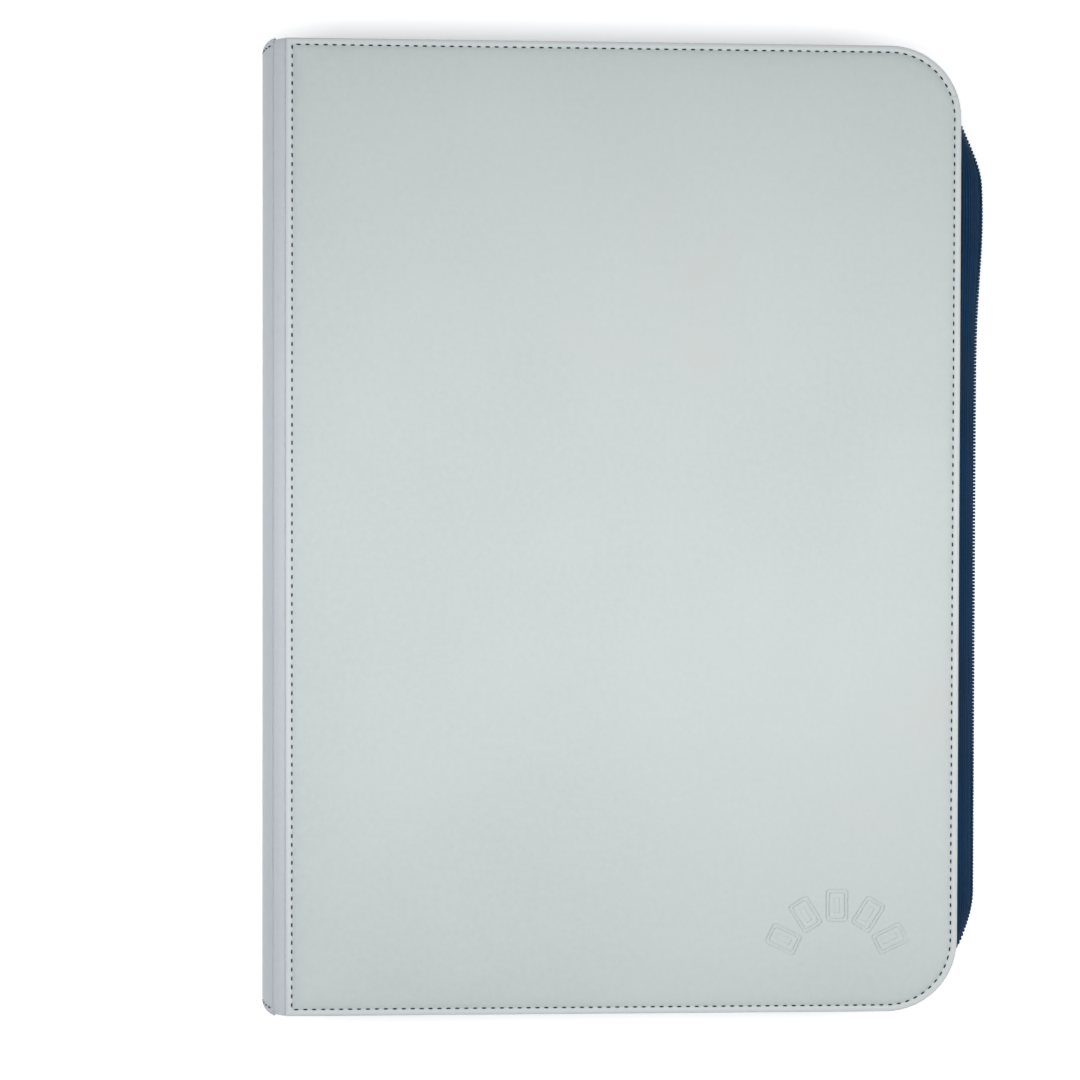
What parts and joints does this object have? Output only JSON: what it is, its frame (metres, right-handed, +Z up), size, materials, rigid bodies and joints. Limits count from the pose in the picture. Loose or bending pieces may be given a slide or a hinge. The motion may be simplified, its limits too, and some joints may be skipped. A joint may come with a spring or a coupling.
{
  "type": "trading card binder",
  "caption": "Zip-up card binder with padded grey covers, a rounded spine, a navy zip gusset and side-loading nine-pocket leaves; both covers fold open flat.",
  "frame": {"origin": "middle of the closed binder's base, on the surface it lies on", "axes": "+X from the spine to the fore-edge, +Y from foot to head, +Z up through the closed binder, out of the front cover"},
  "size_m": [0.2662, 0.3535, 0.038],
  "materials": {
    "cover_skin": "soft matt artificial leather, pale cool grey, fine grain",
    "padding": "foam",
    "board": "pressed paper board",
    "lining": "dark woven lining",
    "binding": "dark binding cloth",
    "gusset_fabric": "navy ribbed tape",
    "zip_coil": "nylon coil",
    "zip_metal": "dark grey metal",
    "pull_rubber": "matt rubber",
    "leaf_sheet": "charcoal plastic sheet",
    "clear_film": "clear soft plastic film"
  },
  "bodies": {
    "back_cover": {"back_cover_skin": "cover_skin", "back_cover_foam": "padding", "back_cover_board": "board", "back_cover_lining": "lining", "gusset_lower": "gusset_fabric", "zip_coil_lower": "zip_coil", "zip_end_stops": "zip_metal"},
    "spine": {"spine_skin": "cover_skin", "spine_padding": "padding", "spine_board": "board", "spine_lining": "lining", "binding_block": "binding", "zip_end_tabs": "gusset_fabric", "back_crease": "cover_skin", "front_crease": "cover_skin"},
    "front_cover": {"front_cover_skin": "cover_skin", "front_cover_foam": "padding", "front_cover_board": "board", "front_cover_lining": "lining", "gusset_upper": "gusset_fabric", "zip_coil_upper": "zip_coil"},
    "slider": {"slider_body": "zip_metal", "slider_pin": "zip_metal"},
    "pull": {"pull_link": "zip_metal", "pull_grip": "pull_rubber"},
    "leaf_01": {"leaf_01_sheet": "leaf_sheet", "leaf_01_pockets": "clear_film"},
    "leaf_02": {"leaf_02_sheet": "leaf_sheet", "leaf_02_pockets": "clear_film"},
    "leaf_03": {"leaf_03_sheet": "leaf_sheet", "leaf_03_pockets": "clear_film"},
    "leaf_04": {"leaf_04_sheet": "leaf_sheet", "leaf_04_pockets": "clear_film"},
    "leaf_05": {"leaf_05_sheet": "leaf_sheet", "leaf_05_pockets": "clear_film"},
    "leaf_06": {"leaf_06_sheet": "leaf_sheet", "leaf_06_pockets": "clear_film"},
    "leaf_07": {"leaf_07_sheet": "leaf_sheet", "leaf_07_pockets": "clear_film"},
    "leaf_08": {"leaf_08_sheet": "leaf_sheet", "leaf_08_pockets": "clear_film"},
    "leaf_09": {"leaf_09_sheet": "leaf_sheet", "leaf_09_pockets": "clear_film"},
    "leaf_10": {"leaf_10_sheet": "leaf_sheet", "leaf_10_pockets": "clear_film"},
    "leaf_11": {"leaf_11_sheet": "leaf_sheet", "leaf_11_pockets": "clear_film"},
    "leaf_12": {"leaf_12_sheet": "leaf_sheet", "leaf_12_pockets": "clear_film"}
  },
  "joints": [
    {"name": "spine_fold", "type": "hinge", "parent": "back_cover", "child": "spine", "pos_m": [-0.12414, -0.00165, 0.004], "axis": [0, -1, 0], "range_deg": [0, 90], "deforming": ["back_crease"]},
    {"name": "cover_fold", "type": "hinge", "parent": "spine", "child": "front_cover", "pos_m": [-0.12414, -0.00165, 0.034], "axis": [0, -1, 0], "range_deg": [0, 90], "deforming": ["front_crease"]},
    {"name": "zip_slide", "type": "slide", "parent": "back_cover", "child": "slider", "axis": [1, 0, 0], "range_m": [0, 0.19]},
    {"name": "pull_flip", "type": "hinge", "parent": "slider", "child": "pull", "pos_m": [-0.10414, 0.17555, 0.019], "axis": [0, 0, 1], "range_deg": [0, 175]},
    {"name": "leaf_01_fold", "type": "hinge", "parent": "spine", "child": "leaf_01", "pos_m": [-0.12104, -0.00165, 0.0058], "axis": [0, -1, 0], "range_deg": [-90, 0]},
    {"name": "leaf_02_fold", "type": "hinge", "parent": "spine", "child": "leaf_02", "pos_m": [-0.11994, -0.00165, 0.0082], "axis": [0, -1, 0], "range_deg": [-90, 0]},
    {"name": "leaf_03_fold", "type": "hinge", "parent": "spine", "child": "leaf_03", "pos_m": [-0.11884, -0.00165, 0.0106], "axis": [0, -1, 0], "range_deg": [-90, 0]},
    {"name": "leaf_04_fold", "type": "hinge", "parent": "spine", "child": "leaf_04", "pos_m": [-0.11774, -0.00165, 0.013], "axis": [0, -1, 0], "range_deg": [-90, 0]},
    {"name": "leaf_05_fold", "type": "hinge", "parent": "spine", "child": "leaf_05", "pos_m": [-0.11664, -0.00165, 0.0154], "axis": [0, -1, 0], "range_deg": [-90, 0]},
    {"name": "leaf_06_fold", "type": "hinge", "parent": "spine", "child": "leaf_06", "pos_m": [-0.11554, -0.00165, 0.0178], "axis": [0, -1, 0], "range_deg": [-90, 0]},
    {"name": "leaf_07_fold", "type": "hinge", "parent": "spine", "child": "leaf_07", "pos_m": [-0.11554, -0.00165, 0.0202], "axis": [0, -1, 0], "range_deg": [0, 90]},
    {"name": "leaf_08_fold", "type": "hinge", "parent": "spine", "child": "leaf_08", "pos_m": [-0.11664, -0.00165, 0.0226], "axis": [0, -1, 0], "range_deg": [0, 90]},
    {"name": "leaf_09_fold", "type": "hinge", "parent": "spine", "child": "leaf_09", "pos_m": [-0.11774, -0.00165, 0.025], "axis": [0, -1, 0], "range_deg": [0, 90]},
    {"name": "leaf_10_fold", "type": "hinge", "parent": "spine", "child": "leaf_10", "pos_m": [-0.11884, -0.00165, 0.0274], "axis": [0, -1, 0], "range_deg": [0, 90]},
    {"name": "leaf_11_fold", "type": "hinge", "parent": "spine", "child": "leaf_11", "pos_m": [-0.11994, -0.00165, 0.0298], "axis": [0, -1, 0], "range_deg": [0, 90]},
    {"name": "leaf_12_fold", "type": "hinge", "parent": "spine", "child": "leaf_12", "pos_m": [-0.12104, -0.00165, 0.0322], "axis": [0, -1, 0], "range_deg": [0, 90]}
  ],
  "couplings": [
    {"joint": "leaf_01_fold", "follows": "spine_fold", "ratio": -1},
    {"joint": "leaf_02_fold", "follows": "spine_fold", "ratio": -1},
    {"joint": "leaf_03_fold", "follows": "spine_fold", "ratio": -1},
    {"joint": "leaf_04_fold", "follows": "spine_fold", "ratio": -1},
    {"joint": "leaf_05_fold", "follows": "spine_fold", "ratio": -1},
    {"joint": "leaf_06_fold", "follows": "spine_fold", "ratio": -1},
    {"joint": "leaf_07_fold", "follows": "cover_fold", "ratio": 1},
    {"joint": "leaf_08_fold", "follows": "cover_fold", "ratio": 1},
    {"joint": "leaf_09_fold", "follows": "cover_fold", "ratio": 1},
    {"joint": "leaf_10_fold", "follows": "cover_fold", "ratio": 1},
    {"joint": "leaf_11_fold", "follows": "cover_fold", "ratio": 1},
    {"joint": "leaf_12_fold", "follows": "cover_fold", "ratio": 1}
  ]
}
